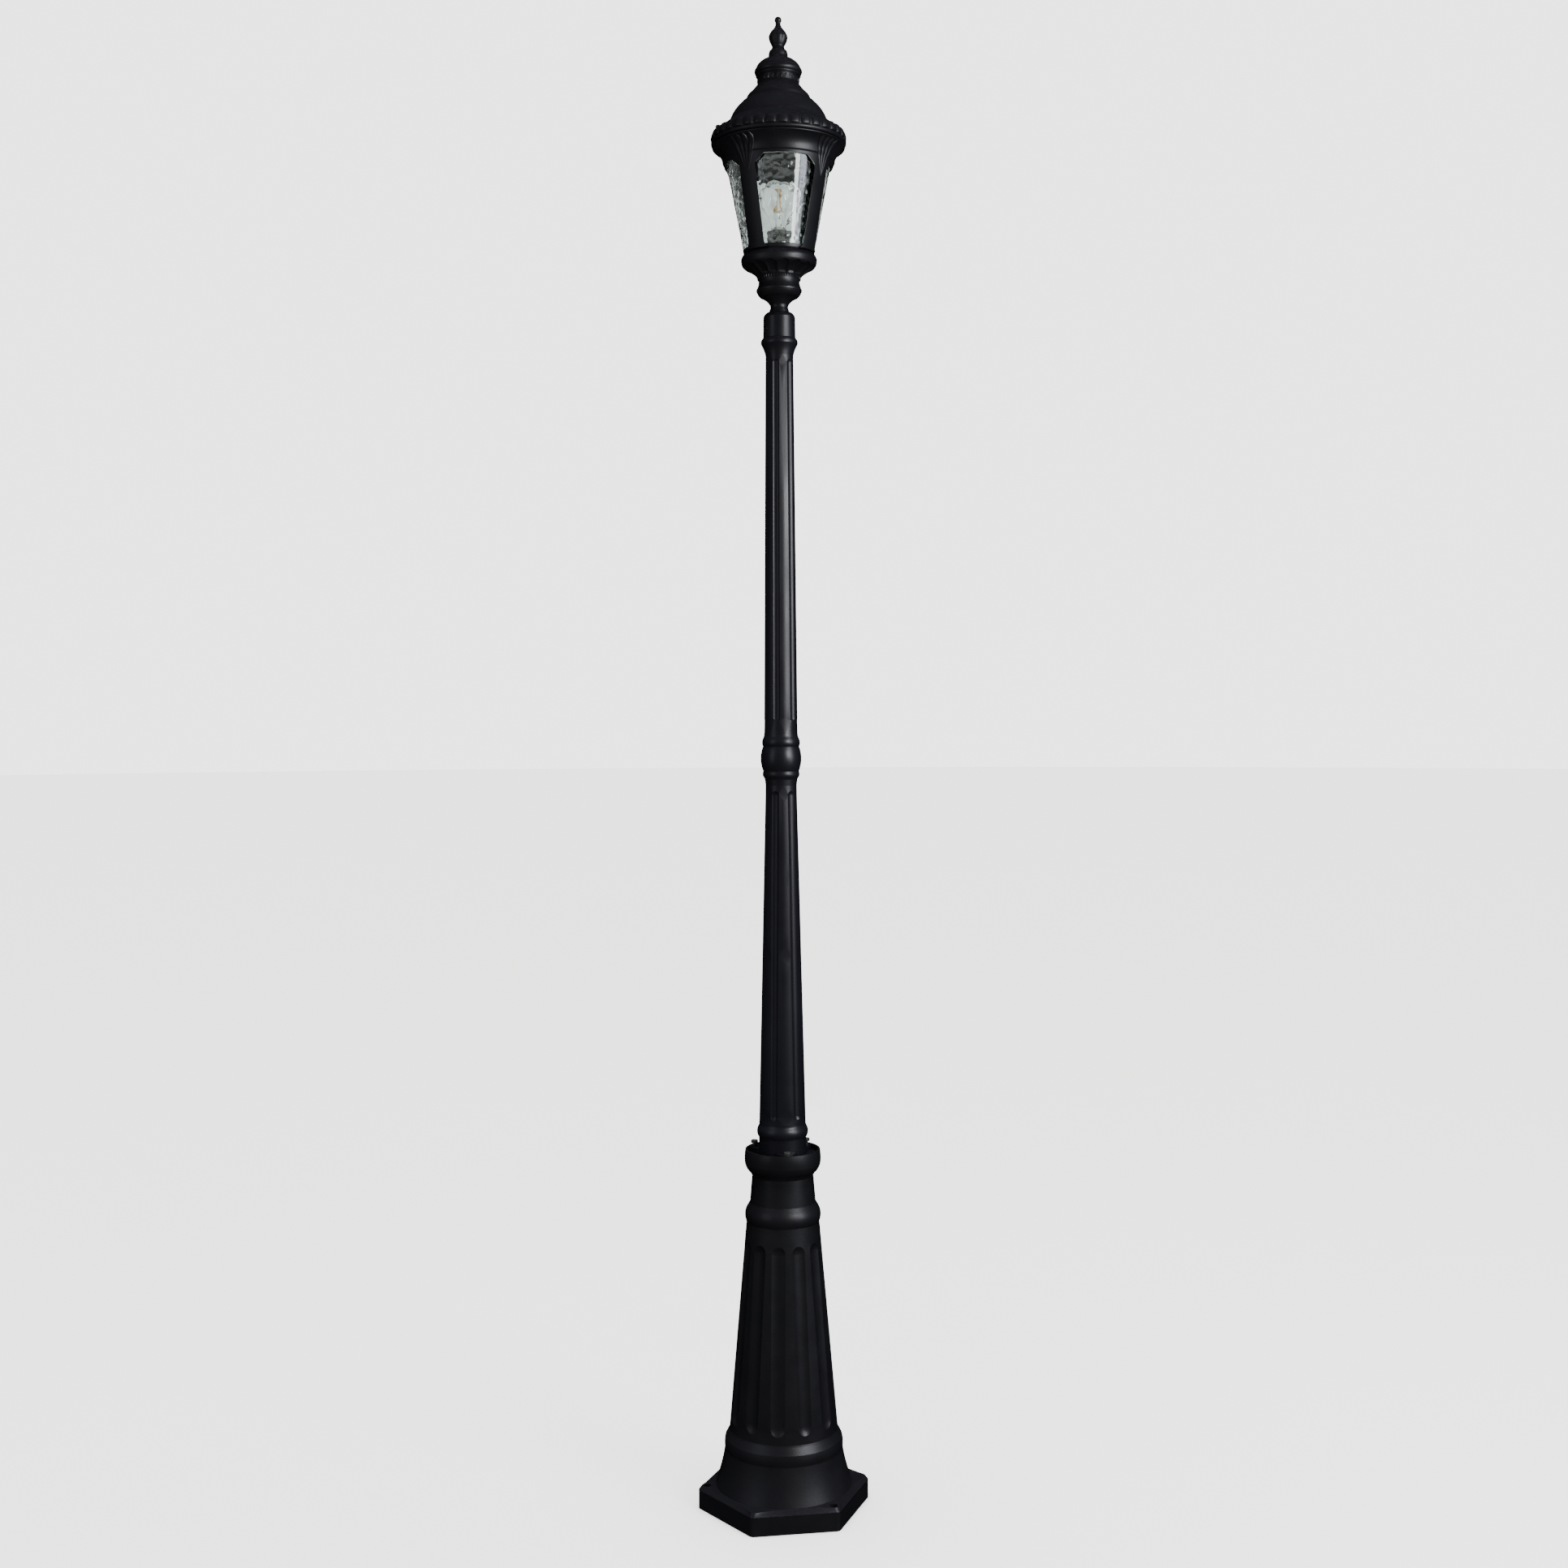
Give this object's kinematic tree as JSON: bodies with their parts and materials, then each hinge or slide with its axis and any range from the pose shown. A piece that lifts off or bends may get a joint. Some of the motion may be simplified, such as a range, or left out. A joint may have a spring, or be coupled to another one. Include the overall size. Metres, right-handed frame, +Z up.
{
  "type": "post lamp",
  "caption": "Free-standing garden post lamp: hexagonal bolt-down foot, fluted tapering pedestal and posts, and a four-sided glazed lantern with a lift-off roof.",
  "frame": {"origin": "centre of the hexagonal foot's underside, at ground level", "axes": "+Z up the lamp's axis; -Y is the front, square to one side of the hexagonal foot and to one glass panel; +X to the right"},
  "size_m": [0.2646, 0.2314, 2.3],
  "materials": {
    "black_powder_coat": "satin black powder coat on cast aluminium",
    "blackened_steel": "black oxide and paint on steel screws",
    "zinc_plated_steel": "bright zinc plate",
    "brass": "plain pressed brass",
    "water_glass": "clear glass with a soft hammered ripple",
    "clear_bulb_glass": "clear blown glass",
    "rubber": "closed-cell rubber",
    "phenolic": "moulded black phenolic",
    "nickel_plate": "nickel plate on brass",
    "amber_phosphor": "yellow phosphor coating on filament sticks",
    "cable_sheath": "black rubber-sheathed lead",
    "terminal_plastic": "cream polyamide"
  },
  "bodies": {
    "lamp": {"pedestal": "black_powder_coat", "pedestal_collar": "black_powder_coat", "lower_post": "black_powder_coat", "coupling_ball": "black_powder_coat", "upper_post": "black_powder_coat", "lantern_fitter": "black_powder_coat", "lantern_stem": "black_powder_coat", "lantern_bowl": "black_powder_coat", "lantern_cage": "black_powder_coat", "collar_bolts": "blackened_steel", "fitter_set_screws": "blackened_steel", "glass_clips": "zinc_plated_steel", "glass_clip_screws": "zinc_plated_steel", "cage_screws": "zinc_plated_steel", "lamp_pipe": "zinc_plated_steel", "pipe_nuts": "zinc_plated_steel", "terminal_bracket": "zinc_plated_steel", "bracket_screws": "zinc_plated_steel", "block_screws": "zinc_plated_steel", "lampholder_shell": "brass", "lampholder_contact": "brass", "earth_screw": "brass", "terminal_screws": "brass", "glass_panel_front": "water_glass", "glass_panel_right": "water_glass", "glass_panel_back": "water_glass", "glass_panel_left": "water_glass", "lampholder_body": "phenolic", "lamp_flex": "cable_sheath", "terminal_block": "terminal_plastic"},
    "roof": {"roof": "black_powder_coat", "roof_gasket": "rubber", "chimney_cap": "black_powder_coat", "finial": "black_powder_coat", "roof_tie_rod": "zinc_plated_steel", "roof_tie_washer": "zinc_plated_steel", "roof_tie_nut": "zinc_plated_steel"},
    "roof_screw_left": {"roof_screw_left": "blackened_steel"},
    "roof_screw_right": {"roof_screw_right": "blackened_steel"},
    "bulb": {"bulb_glass": "clear_bulb_glass", "bulb_cap": "nickel_plate", "bulb_insulator": "phenolic", "bulb_contact": "nickel_plate", "bulb_stem": "clear_bulb_glass", "bulb_filaments": "amber_phosphor"}
  },
  "joints": [
    {"name": "roof_lift", "type": "slide", "parent": "lamp", "child": "roof", "axis": [0, 0, 1], "range_m": [0, 0.16]},
    {"name": "roof_screw_left_turn", "type": "hinge", "parent": "roof", "child": "roof_screw_left", "pos_m": [-0.094, 0, 2.11], "axis": [0, 0, 1], "continuous": true},
    {"name": "roof_screw_right_turn", "type": "hinge", "parent": "roof", "child": "roof_screw_right", "pos_m": [0.094, 0, 2.11], "axis": [0, 0, 1], "continuous": true},
    {"name": "bulb_lift", "type": "slide", "parent": "lamp", "child": "bulb", "axis": [0, 0, 1], "range_m": [0, 0.035]}
  ]
}
